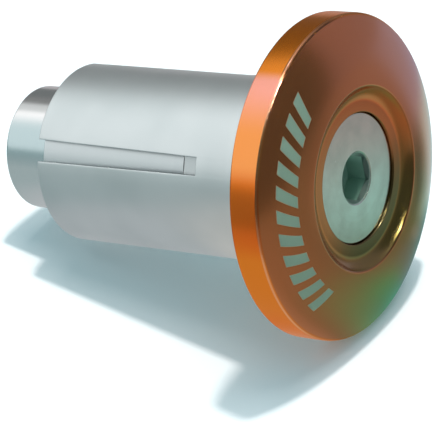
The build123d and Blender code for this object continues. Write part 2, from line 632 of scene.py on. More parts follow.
@dataclass(frozen=True)
class TurnedFinish(Finish):
    """Bare aluminium left bright from the lathe, with a painted highlight and a painted shade band on its
    collar.
    """

    slot: Slot = Slot.TURNED_ALUMINIUM
    lines: Grain = Grain(6.5, 3.0, 0.3)
    cloud: Grain = Grain(150.0, 2.0)
    bright: Colour = (0.82, 0.87, 0.875)
    dull: Colour = (0.66, 0.73, 0.745)
    dull_lines: float = 0.35
    # A painted highlight and a painted shade band on the collar.
    painted_collar_highlight: Colour = (0.97, 0.98, 0.98)
    painted_collar_highlight_turn: float = 0.318
    painted_collar_highlight_side: Point2 = (0.93, 0.99)
    painted_collar_shade: Colour = (0.53, 0.66, 0.68)
    painted_collar_shade_turn: float = 0.408
    painted_collar_shade_side: Point2 = (0.89, 0.997)
    collar_along: Point2 = (-26.1, -26.7)
    roughness: float = 0.27
    line_roughness: float = 0.08
    cloud_roughness: float = 0.05
    collar_gloss: float = 0.14
    relief_mm: float = 0.0035

    def sockets(self, tree: ShaderTree, at: Lathed) -> dict[str, Any]:
        """The values and wires of its shader's sockets.

        Args:
            tree: The material's tree.
            at: The nut's coordinates.

        Returns:
            Values and wires by the socket's name.
        """
        lines = at.lines(self.lines)
        cloud = tree.noise(at.place, self.cloud)
        on_collar = at.along.rise(*self.collar_along)
        # Painted highlight on one side of the collar and painted shade beside it.
        painted_collar_highlight = at.facing(self.painted_collar_highlight_turn).rise(*self.painted_collar_highlight_side)
        painted_collar_shade = at.facing(self.painted_collar_shade_turn).rise(*self.painted_collar_shade_side)
        colour = tree.blend(on_collar * (1.0 - self.dull_lines * lines), self.dull, self.bright)
        colour = tree.blend(on_collar * painted_collar_highlight, colour, self.painted_collar_highlight)
        roughness = self.roughness + self.line_roughness * lines
        return {
            "Base Color": tree.blend(on_collar * painted_collar_shade, colour, self.painted_collar_shade),
            "Metallic": 1.0,
            "Roughness": roughness + self.cloud_roughness * cloud - self.collar_gloss * on_collar,
            "Normal": tree.normal(lines, self.relief_mm),
        }


# Meshes


def add_object(name: str, data: bpy.types.ID) -> bpy.types.Object:
    """Makes an object and links it to the scene.

    Args:
        name: The object's name.
        data: Its mesh, lamp or camera.

    Returns:
        The object.
    """
    item = bpy.data.objects.new(name, data)
    bpy.context.scene.collection.objects.link(item)
    return item


def write_back(work: bmesh.types.BMesh, data: bpy.types.Mesh, sharp_degrees: float) -> None:
    """Writes a worked mesh back, shaded smooth between its sharp edges.

    Args:
        work: The worked mesh, which is freed.
        data: Takes it.
        sharp_degrees: Edges that turn by more than this are sharp.
    """
    for face in work.faces:
        face.smooth = True
    work.to_mesh(data)
    work.free()
    data.set_sharp_from_angle(angle=math.radians(sharp_degrees))


def ring(angles: np.ndarray, along: Union[float, np.ndarray], radius: Union[float, np.ndarray]) -> np.ndarray:
    """Points of a ring about the X axis.

    Args:
        angles: Angles from +Y towards +Z.
        along: Place along X, for all or for each angle.
        radius: Radius, for all or for each angle.

    Returns:
        The points, one to a row.
    """
    along, radius, angles = np.broadcast_arrays(along, radius, angles)
    return np.stack((along, radius * np.cos(angles), radius * np.sin(angles)), axis=1)


@dataclass
class Outline:
    """A line in the plane of (place along X, radius), in millimetres, whose corners can be eased."""

    points: list[Point2] = field(default_factory=list)
    easings: list[float] = field(default_factory=list)

    def to(self, along: float, radius: float, ease: float = 0.0) -> None:
        """Goes straight to a point.

        Args:
            along: Place along X.
            radius: Distance from the axis.
            ease: How far from the point its corner starts to be rounded.
        """
        self.points.append((along, radius))
        self.easings.append(ease)

    def bow(self, along: float, radius: float, rise: float, steps: int, ease: float = 0.0) -> None:
        """Goes to a point along an arc.

        Args:
            along: Place along X.
            radius: Distance from the axis.
            rise: Height of the arc over its chord, to the left of the way.
            steps: Number of straight steps.
            ease: How far from the point its corner starts to be rounded.
        """
        start, end = np.array(self.points[-1]), np.array((along, radius))
        chord = end - start
        length = float(np.hypot(*chord))
        side = np.array((-chord[1], chord[0])) / length * math.copysign(1.0, rise)
        size = abs(rise)
        arc_radius = (length**2 / 4 + size**2) / (2 * size)
        centre = (start + end) / 2 - side * (arc_radius - size)
        half = math.asin(length / 2 / arc_radius)
        for step in range(1, steps):
            swing = -half + 2 * half * step / steps
            spot = centre + arc_radius * (side * math.cos(swing) + chord / length * math.sin(swing))
            self.to(float(spot[0]), float(spot[1]))
        self.to(along, radius, ease)

    def line(self, closed: bool, steps: int = 5) -> list[Point2]:
        """The points of the line with its corners eased.

        Args:
            closed: Whether the last point leads back to the first.
            steps: Straight steps in each eased corner.

        Returns:
            The points in order.
        """
        spots = [np.array(point) for point in self.points]
        past: set[int] = set()
        corners: dict[int, list[Point2]] = {}
        for index, ease in enumerate(self.easings):
            if ease <= 0:
                continue
            before = self._walk(spots, index, -1, ease, past)
            after = self._walk(spots, index, 1, ease, past)
            corners[index] = []
            for share in np.linspace(0.0, 1.0, steps + 1):
                spot = (1 - share) ** 2 * before + 2 * share * (1 - share) * spots[index] + share**2 * after
                corners[index].append((float(spot[0]), float(spot[1])))
        result: list[Point2] = []
        for index, point in enumerate(self.points):
            if index in corners:
                result.extend(corners[index])
            elif index not in past:
                result.append(point)
        return [*result, result[0]] if closed else result

    @staticmethod
    def _walk(spots: Sequence[np.ndarray], index: int, step: int, reach: float, past: set[int]) -> np.ndarray:
        """Walks from a corner along the line, and marks the points that are passed.

        Args:
            spots: The line's points, taken as a closed line.
            index: The corner to start from.
            step: 1 to walk on, -1 to walk back.
            reach: How far to walk.
            past: Takes the indices of the points that are passed.

        Returns:
            The point that is reached.
        """
        here = spots[index]
        place = index
        left = reach
        while True:
            place = (place + step) % len(spots)
            gap = spots[place] - here
            length = float(np.hypot(*gap))
            if length > left:
                return here + gap * (left / length)
            left -= length
            here = spots[place]
            past.add(place)


class Skin:
    """Collects patches of a closed surface, in millimetres, and welds them into one mesh."""

    def __init__(self) -> None:
        """Starts with no patches."""
        self.points: list[np.ndarray] = []
        self.faces: list[tuple[int, ...]] = []
        self.count = 0

    def _store(self, points: np.ndarray) -> int:
        """Adds points.

        Args:
            points: The points, one to a row.

        Returns:
            The index of the first.
        """
        first = self.count
        self.points.append(points)
        self.count += len(points)
        return first

    def grid(self, rows: np.ndarray) -> None:
        """Adds a patch of quads.

        Args:
            rows: Points as an array of rows, columns and three coordinates.
        """
        tall, wide = rows.shape[:2]
        first = self._store(rows.reshape(-1, 3))
        for row in range(tall - 1):
            for column in range(wide - 1):
                corner = first + row * wide + column
                self.faces.append((corner, corner + 1, corner + wide + 1, corner + wide))

    def face(self, points: np.ndarray) -> None:
        """Adds one flat face with any number of corners, in order."""
        first = self._store(points)
        self.faces.append(tuple(range(first, first + len(points))))

    def turn(self, outline: Sequence[Point2], segments: int) -> None:
        """Adds a patch turned about the X axis.

        Args:
            outline: Points of (place along X, radius).
            segments: Steps round the axis.
        """
        angles = np.linspace(0.0, FULL_TURN, segments + 1)
        self.grid(np.array([ring(angles, along, radius) for along, radius in outline]))

    def mesh(self, name: str, sharp_degrees: float = 28.0) -> bpy.types.Object:
        """Welds the patches into an object.

        Args:
            name: The object's name.
            sharp_degrees: Edges that turn by more than this are sharp.

        Returns:
            The object, linked to the scene.
        """
        points = np.concatenate(self.points) * MM
        data = bpy.data.meshes.new(name)
        data.from_pydata(points.tolist(), [], self.faces)
        work = bmesh.new()
        work.from_mesh(data)
        bmesh.ops.remove_doubles(work, verts=work.verts, dist=WELD_MM * MM)
        bmesh.ops.dissolve_degenerate(work, dist=SLIVER_MM * MM, edges=work.edges)
        bmesh.ops.recalc_face_normals(work, faces=work.faces)
        write_back(work, data, sharp_degrees)
        return add_object(name, data)


def settle(piece: bpy.types.Object, body: Body, node: str, finish: Finish, evenness: int = 80) -> None:
    """Gives a piece its finish and its place in the frame.

    Args:
        piece: The piece.
        body: The body that it rides on.
        node: The solid that it stands for.
        finish: Its finish.
        evenness: How strongly its large faces lead the shading of their edges.
    """
    piece.data.materials.clear()
    piece.data.materials.append(finish.material())
    normals = piece.modifiers.new("even_shading", "WEIGHTED_NORMAL")
    normals.keep_sharp = True
    normals.weight = evenness
    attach(piece, body.value)
    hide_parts(node)
    LOG.info("%s: %d faces on %s", piece.name, len(piece.data.polygons), body.value)


# Pieces


@dataclass
class EndCap:
    """The turned cap, with a crowned front, a dished recess and a countersunk hole."""

    radius: float = 15.0
    rim_width: float = 2.85
    rim_ease: float = 0.24
    crown: float = 0.35
    crown_steps: int = 26
    lip_along: float = 4.68
    lip_radius: float = 8.48
    lip_ease: float = 0.18
    floor_along: float = 3.93
    floor_radius: float = 7.08
    dish_bow: float = 0.187
    dish_steps: int = 12
    seat_along: float = 3.38
    seat_radius: float = 6.08
    web: float = 0.55
    hole_radius: float = 3.25
    edge_ease: float = 0.07
    segments: int = 288
    finish: AnodisedFinish = AnodisedFinish()

    def outline(self) -> list[Point2]:
        """The section of the cap, as a closed line."""
        line = Outline()
        line.to(0.0, self.hole_radius, self.edge_ease)
        line.to(0.0, self.radius, self.rim_ease)
        line.to(self.rim_width, self.radius, self.rim_ease)
        line.bow(self.lip_along, self.lip_radius, self.crown, self.crown_steps, self.lip_ease)
        line.bow(self.floor_along, self.floor_radius, -self.dish_bow, self.dish_steps)
        line.to(self.floor_along, self.seat_radius, self.edge_ease)
        line.to(self.seat_along, self.seat_radius)
        line.to(self.web, self.hole_radius, self.edge_ease)
        return line.line(closed=True)

    def build(self) -> None:
        """Makes the cap's piece, dressed and in place."""
        skin = Skin()
        skin.turn(self.outline(), self.segments)
        piece = skin.mesh("anodised_cap")
        settle(piece, Body.PLUG, "end_cap", self.finish)


@dataclass(frozen=True)
class RadiusLimit:
    """Bends a thread's radius near its ends, so that each end is a plain circle.

    It holds places along X in rising order, the plain radius at each, and how much of the thread gives way
    to that radius there, from 0 to 1.
    """

    places: Sequence[float]
    radii: Sequence[float]
    shares: Sequence[float]

    def apply(self, along: np.ndarray, radius: float) -> np.ndarray:
        """The radius after the limit.

        Args:
            along: Places along X.
            radius: The thread's own radius.

        Returns:
            The mixed radius at each place.
        """
        plain = np.interp(along, self.places, self.radii)
        share = np.interp(along, self.places, self.shares)
        return radius * (1 - share) + plain * share


@dataclass
class MetricThread:
    """A right-hand thread of the screw and of its nut, at one millimetre a turn."""

    pitch: float = 1.0
    crest_radius: float = 3.0
    root_radius: float = 2.387
    crest_half: float = 0.0625
    root_half: float = 0.0833
    segments: int = 144

    def profile(self, slack_along: float = 0.0, slack_radius: float = 0.0) -> list[Point2]:
        """One pitch of the screw's thread, or with slack that of the nut, which clears it on both flanks.

        Args:
            slack_along: How far the flanks stand back along X.
            slack_radius: How far the crest and the root stand out.

        Returns:
            Points of (share of the pitch, radius).
        """
        crest_half = self.crest_half + slack_along - slack_radius / math.sqrt(3)
        root_half = self.root_half - slack_along / 2
        crest, root = self.crest_radius + slack_radius, self.root_radius + slack_radius
        return [(-crest_half, crest), (crest_half, crest), (0.5 - root_half, root), (0.5 + root_half, root)]

    def rows(self, profile: Sequence[Point2], start: float, end: float, limit: RadiusLimit) -> np.ndarray:
        """The thread's surface as rows that follow the helix.

        Args:
            profile: One pitch of it.
            start: Place along X where it starts, the larger one.
            end: Place along X where it ends.
            limit: Bends the radius at the thread's ends.

        Returns:
            Rows of points, of which those beyond the ends lie on the ends.
        """
        angles = np.linspace(0.0, FULL_TURN, self.segments + 1)
        first = math.ceil(start / self.pitch) + 1
        last = math.floor(end / self.pitch) - 2
        rows = []
        for turn in range(first, last - 1, -1):
            for share, radius in profile:
                along = (turn - share) * self.pitch + self.pitch * angles / FULL_TURN
                along = np.clip(along, end, start)
                rows.append(ring(angles, along, limit.apply(along, radius)))
        return np.array(rows)


@dataclass
class ClampScrew:
    """The countersunk socket screw, threaded up to its head."""

    head_top: float = 3.68
    head_radius: float = 6.0
    head_ease: float = 0.13
    land_along: float = 3.38
    land_ease: float = 0.06
    neck_along: float = 0.38
    neck_ease: float = 0.35
    tip: float = -31.32
    tip_chamfer: float = 0.7
    tip_bend: float = 0.09
    tip_bend_share: float = 0.55
    flat_radius: float = 2.0
    socket_depth: float = 2.3
    mouth_radius: float = 2.459
    mouth_break: float = 0.03
    mouth_break_in: float = 0.02
    mouth_land: float = 0.5
    thread_start: float = -0.5
    run_out: float = 1.3
    thread: MetricThread = field(default_factory=MetricThread)
    finish: PlatedFinish = PlatedFinish()

    def hex_radius(self, angles: np.ndarray) -> np.ndarray:
        """The socket's radius at each angle from +Y towards +Z, with flats square to Y."""
        sixth = FULL_TURN / 6
        return self.flat_radius / np.cos((angles + sixth / 2) % sixth - sixth / 2)

    def head_rows(self) -> np.ndarray:
        """Rows from the bottom of the socket over the head to the start of the thread."""
        angles = np.linspace(0.0, FULL_TURN, self.thread.segments + 1)
        hexagon = self.hex_radius(angles)
        floor = self.head_top - self.socket_depth
        socket = [
            (floor - self.flat_radius / math.sqrt(3), 0.0),
            (floor, self.flat_radius),
            (floor, hexagon),
            (self.head_top - (self.mouth_radius - hexagon), hexagon),
            (self.head_top - self.mouth_break, self.mouth_radius - self.mouth_break_in),
            (self.head_top, self.mouth_radius + self.mouth_break),
        ]
        shell = Outline()
        shell.to(self.head_top, self.mouth_radius + self.mouth_land)
        shell.to(self.head_top, self.head_radius, self.head_ease)
        shell.to(self.land_along, self.head_radius, self.land_ease)
        shell.to(self.neck_along, self.thread.crest_radius, self.neck_ease)
        shell.to(self.thread_start, self.thread.crest_radius)
        return np.array([ring(angles, *point) for point in (*socket, *shell.line(closed=False))])

    def build(self) -> None:
        """Makes the screw's piece, dressed and in place."""
        crest = self.thread.crest_radius
        blunt = crest - self.tip_chamfer
        chamfer = self.tip + self.tip_chamfer
        limit = RadiusLimit(
            (self.tip, chamfer - self.tip_bend, chamfer, self.thread_start - self.run_out, self.thread_start),
            (blunt, self.thread.root_radius, crest, crest, crest),
            (1.0, self.tip_bend_share, 0.0, 0.0, 1.0),
        )
        skin = Skin()
        skin.grid(self.head_rows())
        skin.grid(self.thread.rows(self.thread.profile(), self.thread_start, self.tip, limit))
        skin.turn([(self.tip, blunt), (self.tip, blunt / 2), (self.tip, 0.0)], self.thread.segments)
        piece = skin.mesh("socket_screw")
        settle(piece, Body.SCREW, "clamp_screw", self.finish)


@dataclass
class SplitSleeve:
    """The sleeve that goes into the bar, slotted from the rear over a tapered bore."""

    radius: float = 8.65
    rear: float = -26.7
    edge_ease: float = 0.22
    bore_bottom: float = -10.5
    bore_ease: float = 0.08
    rear_wall: float = 0.55
    taper: float = 0.05
    hole_radius: float = 3.25
    hole_ease: float = 0.1
    slot_count: int = 4
    slot_turn: float = 153.0
    slot_start: float = -8.2
    slot_root_width: float = 1.65
    slot_mouth_width: float = 2.1
    slot_floor: float = 7.17
    slot_columns: int = 6
    finger_columns: int = 54
    finger_places: tuple[float, ...] = (-14.0, -18.0, -22.0)
    burr: float = 0.07
    burr_degrees: float = 60.0
    burr_depth: float = 0.03
    burr_margin: float = 0.01
    burr_weld: float = 0.002
    sharp_degrees: float = 50.0
    finish: SatinFinish = SatinFinish()

    def half_width(self, along: float) -> float:
        """Half the slot's width at a place along X."""
        share = (self.slot_start - along) / (self.slot_start - self.rear)
        return (self.slot_root_width + (self.slot_mouth_width - self.slot_root_width) * share) / 2

    def bore_radius(self, along: float) -> float:
        """Radius of the tapered bore at a place along X."""
        return self.radius - self.rear_wall - (along - self.rear) * self.taper

    def slot_floor_row(self, turn: float, along: float) -> np.ndarray:
        """A row of points across a slot's flat floor.

        Args:
            turn: The slot's angle from +Y towards +Z.
            along: Place along X.

        Returns:
            The points, one to a row.
        """
        across = np.linspace(-1.0, 1.0, self.slot_columns + 1) * self.half_width(along)
        side, away = math.cos(turn), math.sin(turn)
        out = self.slot_floor
        points = (np.full_like(across, along), out * side - across * away, out * away + across * side)
        return np.stack(points, axis=-1)

    def finger_angles(self, half: float, radius: float) -> np.ndarray:
        """Angles across a finger from one slot's edge to the next one's, from the first slot's middle."""
        edge = math.asin(half / radius)
        return np.linspace(edge, FULL_TURN / self.slot_count - edge, self.finger_columns + 1)

    def slot_angles(self, half: float, radius: float) -> np.ndarray:
        """Angles across a slot from edge to edge, from its middle."""
        edge = math.asin(half / radius)
        return np.linspace(-edge, edge, self.slot_columns + 1)

    def front_outline(self) -> list[Point2]:
        """The line from the slots' start round the sleeve's front to the bottom of the bore."""
        line = Outline()
        line.to(self.slot_start, self.radius)
        line.to(0.0, self.radius, self.edge_ease)
        line.to(0.0, self.hole_radius, self.hole_ease)
        line.to(self.bore_bottom, self.hole_radius)
        return line.line(closed=False)

    def finger_outline(self) -> list[Point2]:
        """The line from the slots' start over a finger's rear end and back down the bore."""
        line = Outline()
        for along in (self.slot_start, self.bore_bottom, *self.finger_places):
            line.to(along, self.radius)
        line.to(self.rear, self.radius, self.edge_ease)
        line.to(self.rear, self.bore_radius(self.rear), self.bore_ease)
        for along in (*reversed(self.finger_places), self.bore_bottom):
            line.to(along, self.bore_radius(along))
        return line.line(closed=False)

    def add_front(self, skin: Skin, turn: float) -> None:
        """Adds a slot's and a finger's share of the sleeve's front.

        Args:
            skin: Takes the patches.
            turn: The slot's angle.
        """
        root = self.half_width(self.slot_start)
        outline = self.front_outline()
        for angles_of in (self.slot_angles, self.finger_angles):
            rows = [ring(angles_of(root, radius) + turn, along, radius) for along, radius in outline]
            skin.grid(np.array(rows))

    def add_finger(self, skin: Skin, turn: float) -> None:
        """Adds a finger and the bottom of the bore under it.

        Args:
            skin: Takes the patches.
            turn: The angle of the slot before it.
        """
        rows = []
        for along, radius in self.finger_outline():
            rows.append(ring(self.finger_angles(self.half_width(along), radius) + turn, along, radius))
        skin.grid(np.array(rows))
        angles = self.finger_angles(self.half_width(self.slot_start), self.hole_radius) + turn
        skin.grid(np.array((rows[-1], ring(angles, self.bore_bottom, self.hole_radius))))

    def add_slot(self, skin: Skin, turn: float) -> None:
        """Adds a slot's floor, end and sides.

        Args:
            skin: Takes the patches.
            turn: The slot's angle.
        """
        root = self.half_width(self.slot_start)
        front = self.slot_floor_row(turn, self.slot_start)
        rear = self.slot_floor_row(turn, self.bore_bottom)
        hole = ring(self.slot_angles(root, self.hole_radius) + turn, self.bore_bottom, self.hole_radius)
        skin.grid(np.array((front, rear)))
        skin.grid(np.array((rear, hole)))
        arc = ring(self.slot_angles(root, self.radius) + turn, self.slot_start, self.radius)
        skin.face(np.concatenate((arc, front[::-1])))
        outline = self.finger_outline()
        for side, end in ((1.0, -1), (-1.0, 0)):
            edge = []
            for along, radius in outline:
                angle = turn + side * math.asin(self.half_width(along) / radius)
                edge.append(ring(np.array([angle]), along, radius)[0])
            skin.face(np.array([*edge, rear[end], front[end]]))
            skin.face(np.array((hole[end], rear[end], edge[-1])))

    def ease_slots(self, piece: bpy.types.Object) -> None:
        """Takes the burr off the slots' outer edges.

        Args:
            piece: The sleeve's piece.
        """
        work = bmesh.new()
        work.from_mesh(piece.data)
        front = (self.slot_start + self.burr_margin) * MM
        outer = (self.radius - self.burr_depth) * MM
        edges = []
        for edge in work.edges:
            if len(edge.link_faces) != 2 or edge.calc_face_angle() < math.radians(self.burr_degrees):
                continue
            if all(vert.co.x < front and vert.co.yz.length > outer for vert in edge.verts):
                edges.append(edge)
        bmesh.ops.bevel(work, geom=edges, offset=self.burr * MM, segments=2, affect="EDGES", profile=0.5)
        bmesh.ops.remove_doubles(work, verts=work.verts, dist=self.burr_weld * MM)
        write_back(work, piece.data, self.sharp_degrees)

    def build(self) -> None:
        """Makes the sleeve's piece, dressed and in place."""
        skin = Skin()
        for index in range(self.slot_count):
            turn = math.radians(self.slot_turn) + FULL_TURN * index / self.slot_count
            for add in (self.add_front, self.add_finger, self.add_slot):
                add(skin, turn)
        piece = skin.mesh("split_sleeve_skin")
        self.ease_slots(piece)
        settle(piece, Body.PLUG, "split_sleeve", self.finish)


@dataclass
class TaperNut:
    """The long cone that the screw draws up the sleeve, threaded through, with a collar at its rear."""

    front: float = -10.51
    front_radius: float = 7.241
    front_ease: float = 0.03
    shoulder: float = -26.4
    shoulder_radius: float = 8.035
    shoulder_ease: float = 0.1
    collar_radius: float = 6.035
    collar_ease: float = 0.12
    rear: float = -32.8
    rear_ease: float = 0.34
    mouth_radius: float = 3.55
    mouth_reach: float = 0.6
    slack_along: float = 0.066
    slack_radius: float = 0.055
    thread: MetricThread = field(default_factory=MetricThread)
    finish: TurnedFinish = TurnedFinish()

    def build(self) -> None:
        """Makes the nut's piece, dressed and in place."""
        line = Outline()
        line.to(self.front, self.mouth_radius)
        line.to(self.front, self.front_radius, self.front_ease)
        line.to(self.shoulder, self.shoulder_radius, self.shoulder_ease)
        line.to(self.shoulder, self.collar_radius, self.collar_ease)
        line.to(self.rear, self.collar_radius, self.rear_ease)
        line.to(self.rear, self.mouth_radius)
        root = self.thread.root_radius
        limit = RadiusLimit(
            (self.rear, self.rear + self.mouth_reach, self.front - self.mouth_reach, self.front),
            (self.mouth_radius, root, root, self.mouth_radius),
            (1.0, 0.0, 0.0, 1.0),
        )
        skin = Skin()
        skin.turn(line.line(closed=False), self.thread.segments)
        profile = self.thread.profile(self.slack_along, self.slack_radius)
        skin.grid(self.thread.rows(profile, self.front, self.rear, limit))
        piece = skin.mesh("taper_nut_skin")
        settle(piece, Body.NUT, "taper_nut", self.finish)


# Table, light and camera


@dataclass(frozen=True)
class TableFrame:
    """How the part lies: on the cap's rim and the sleeve's rear edge, seen from the photo's side."""

    rim_radius: float = 15.0
    sleeve_radius: float = 8.65
    sleeve_rear: float = -26.7
    centre: Vector = Vector((-8.0, 0.0, 0.0))
    eye: Vector = Vector((117.616, -161.271, 92.648))
    aim: Vector = Vector((-8.517, -5.479, -2.764))

    @property
    def up(self) -> Vector:
        """The table's normal."""
        tilt = math.atan2(self.rim_radius - self.sleeve_radius, -self.sleeve_rear)
        return Vector((math.sin(tilt), 0.0, math.cos(tilt)))

    @property
    def away(self) -> Vector:
        """The level direction away from the camera."""
        ahead = self.aim - self.eye
        return (ahead - self.up * ahead.dot(self.up)).normalized()

    @property
    def right(self) -> Vector:
        """The level direction to the picture's right."""
        return self.away.cross(self.up)

    @property
    def middle(self) -> Vector:
        """The point of the table under the part's middle."""
        foot = Vector((0.0, 0.0, -self.rim_radius))
        return self.centre - self.up * (self.centre - foot).dot(self.up)

    def level(self, azimuth: float) -> Vector:
        """The level direction at degrees to the right of straight away from the camera."""
        angle = math.radians(azimuth)
        return self.away * math.cos(angle) + self.right * math.sin(angle)

    def towards(self, azimuth: float, elevation: float) -> Vector:
        """The direction at such an azimuth and at degrees above the table."""
        height = math.radians(elevation)
        return self.level(azimuth) * math.cos(height) + self.up * math.sin(height)


@dataclass(frozen=True)
class Tabletop:
    """A plain pale table that shows the part's shadow and can be seen through from below."""

    radius: float = 900.0
    drop: float = 0.02
    step_degrees: int = 5
    paper: Colour = (0.86, 0.86, 0.86)
    lift: Colour = (0.5, 0.95, 1.0)
    lift_strength: float = 0.1

    def material(self) -> bpy.types.Material:
        """White paper, lifted to white where the eye or a reflection sees it."""
        material, tree = new_material("white_paper")
        paper = tree.add("ShaderNodeBsdfDiffuse", None, {"Color": self.paper})["BSDF"]
        light = {"Color": self.lift, "Strength": self.lift_strength}
        glow = tree.add("ShaderNodeEmission", None, light)["Emission"]
        lifted = tree.add("ShaderNodeAddShader", None, {"Shader": paper, "Shader_001": glow})["Shader"]
        top = tree.mix(tree.seen(), paper, lifted)
        clear = tree.add("ShaderNodeBsdfTransparent")["BSDF"]
        tree.surface(tree.mix(tree.add("ShaderNodeNewGeometry")["Backfacing"], top, clear))
        return material

    def build(self, table: TableFrame) -> None:
        """Makes the table top, facing up.

        Args:
            table: The table's frame.
        """
        centre = table.middle - table.up * self.drop
        points = []
        for azimuth in range(360, 0, -self.step_degrees):
            points.append((centre + table.level(azimuth) * self.radius) * MM)
        data = bpy.data.meshes.new("tabletop")
        data.from_pydata(points, [], [tuple(range(len(points)))])
        data.materials.append(self.material())
        piece = add_object("tabletop", data)


@dataclass(frozen=True)
class Patch:
    """A soft-edged patch of the surround, which lies on its mat or stands on its wall."""

    name: str
    azimuths: Point2
    span: Point2
    colour: Colour
    softness: float = 1.0

    def weight(self, azimuth: np.ndarray, across: np.ndarray, span: np.ndarray, edge: Point2) -> np.ndarray:
        """How strongly the patch shows.

        Args:
            azimuth: Where on the sheet, in degrees.
            across: Where on the sheet the other way.
            span: The patch's span that way, on the same scale.
            edge: Half the width of its soft edges, along and across.

        Returns:
            Weights from 0 to 1.
        """
        middle = sum(self.azimuths) / 2
        half = self.azimuths[1] - middle
        along = half - np.abs((azimuth - middle + 180.0) % 360.0 - 180.0)
        inside = np.minimum(across - span[0], span[1] - across)
        weight = np.ones_like(azimuth)
        for depth, width in zip((along, inside), edge):
            ramp = np.clip(0.5 + 0.5 * depth / (self.softness * width), 0.0, 1.0)
            weight *= ramp * ramp * (3.0 - 2.0 * ramp)
        return weight


@dataclass(frozen=True)
class Sheet:
    """A sheet of the surround, in patches that blend into each other and that only reflections show."""

    name: str
    limits: Point2
    rows: int
    edge: Point2
    patches: tuple[Patch, ...]
    columns: int = 180
    least_weight: float = 1e-6
    least_cover: float = 0.001

    def scale(self, across: np.ndarray) -> np.ndarray:
        """The scale on which the sheet's rows are even."""
        return across

    def unscale(self, scaled: np.ndarray) -> np.ndarray:
        """The way back from that scale."""
        return scaled

    def place(self, table: TableFrame, azimuth: float, across: float) -> Vector:
        """A point of the sheet, in millimetres."""
        raise NotImplementedError

    def shades(self, azimuth: np.ndarray, across: np.ndarray) -> np.ndarray:
        """The sheet's colours.

        Args:
            azimuth: Where on the sheet, in degrees.
            across: Where on the sheet the other way, on the sheet's scale.

        Returns:
            A colour and a cover for each place.
        """
        total = np.full(azimuth.shape, self.least_weight)
        colours = np.full((*azimuth.shape, 3), self.least_weight)
        for patch in self.patches:
            weight = patch.weight(azimuth, across, self.scale(np.array(patch.span)), self.edge)
            total += weight
            colours += weight[..., None] * np.array(patch.colour)
        cover = np.clip(total, 0.0, 1.0)
        return np.concatenate([colours / total[..., None], cover[..., None]], axis=-1)

    def material(self) -> bpy.types.Material:
        """The sheet's colours, clear where no patch is."""
        material, tree = new_material(self.name)
        shade = tree.add("ShaderNodeVertexColor", {"layer_name": "shade"})
        glow = tree.add("ShaderNodeEmission", None, {"Color": shade["Color"], "Strength": 1.0})["Emission"]
        clear = tree.add("ShaderNodeBsdfTransparent")["BSDF"]
        tree.surface(tree.mix(shade["Alpha"], clear, glow))
        return material

    def build(self, table: TableFrame) -> None:
        """Makes the sheet, seen by reflections alone.

        Args:
            table: The table's frame.
        """
        wide = self.columns
        azimuths = np.arange(wide) * (360.0 / wide)
        levels = np.linspace(*self.scale(np.array(self.limits)), self.rows + 1)
        shades = self.shades(*np.meshgrid(azimuths, levels))
        points = []
        for across in self.unscale(levels).tolist():
            points.extend(self.place(table, azimuth, across) * MM for azimuth in azimuths.tolist())
        covered = (shades[..., 3] > self.least_cover).ravel()
        faces = []
        for first in range(0, self.rows * wide, wide):
            for column in range(wide):
                here, ahead = first + column, first + (column + 1) % wide
                face = (here, ahead, ahead + wide, here + wide)
                if covered[list(face)].any():
                    faces.append(face)
        data = bpy.data.meshes.new(self.name)
        data.from_pydata(points, [], faces)
        data.color_attributes.new("shade", "FLOAT_COLOR", "POINT").data.foreach_set("color", shades.ravel())
        data.materials.append(self.material())
        piece = add_object(self.name, data)
        for ray in ("camera", "diffuse", "shadow", "transmission", "volume_scatter"):
            setattr(piece, f"visible_{ray}", False)


@dataclass(frozen=True)
class Mat(Sheet):
    """The sheet that lies on the table, whose patches span a reach from the part's middle in millimetres."""

    lift: float = 0.05

    def scale(self, across: np.ndarray) -> np.ndarray:
        """Reach on a scale of even ratios."""
        return np.log(np.maximum(across, 1.0))

    def unscale(self, scaled: np.ndarray) -> np.ndarray:
        """Reach in millimetres."""
        return np.exp(scaled)

    def place(self, table: TableFrame, azimuth: float, across: float) -> Vector:
        """A point just above the table."""
        return table.middle + table.level(azimuth) * across + table.up * self.lift


@dataclass(frozen=True)
class Wall(Sheet):
    """The sheet that stands round the table, whose patches span an elevation in degrees."""

    distance: float = 600.0

    def place(self, table: TableFrame, azimuth: float, across: float) -> Vector:
        """A point of the wall."""
        return (table.level(azimuth) + table.up * math.tan(math.radians(across))) * self.distance


@dataclass(frozen=True)
class Sun:
    """A lamp far off, as wide as a studio lamp looks from the part."""

    name: str
    azimuth: float
    elevation: float
    width: float
    strength: float
    colour: Colour
    mirrored: bool
    distance: float = 800.0

    def build(self, table: TableFrame) -> None:
        """Hangs the lamp, aimed at the part.

        Args:
            table: The table's frame.
        """
        light = bpy.data.lights.new(self.name, "SUN")
        light.angle = math.radians(self.width)
        light.energy = self.strength
        light.color = self.colour
        lamp = add_object(self.name, light)
        direction = table.towards(self.azimuth, self.elevation)
        lamp.location = direction * self.distance * MM
        lamp.rotation_mode = "QUATERNION"
        lamp.rotation_quaternion = direction.to_track_quat("Z", "Y")
        lamp.visible_glossy = self.mirrored


@dataclass(frozen=True)
class PhotoCamera:
    """The camera of the photo's view."""

    sensor_mm: float = 36.0
    lens_mm: float = 196.3636
    nearest_m: float = 0.01
    farthest_m: float = 20.0

    def build(self, table: TableFrame) -> None:
        """Sets the camera up and makes it the scene's own.

        Args:
            table: The table's frame.
        """
        data = bpy.data.cameras.new("photo_camera")
        data.sensor_width = self.sensor_mm
        data.lens = self.lens_mm
        data.clip_start = self.nearest_m
        data.clip_end = self.farthest_m
        data.dof.use_dof = False
        camera = add_object("photo_camera", data)
        back = (table.eye - table.aim).normalized()
        side = table.up.cross(back).normalized()
        turn = Matrix((side, back.cross(side), back)).transposed()
        camera.matrix_world = Matrix.Translation(table.eye * MM) @ turn.to_4x4()
        bpy.context.scene.camera = camera


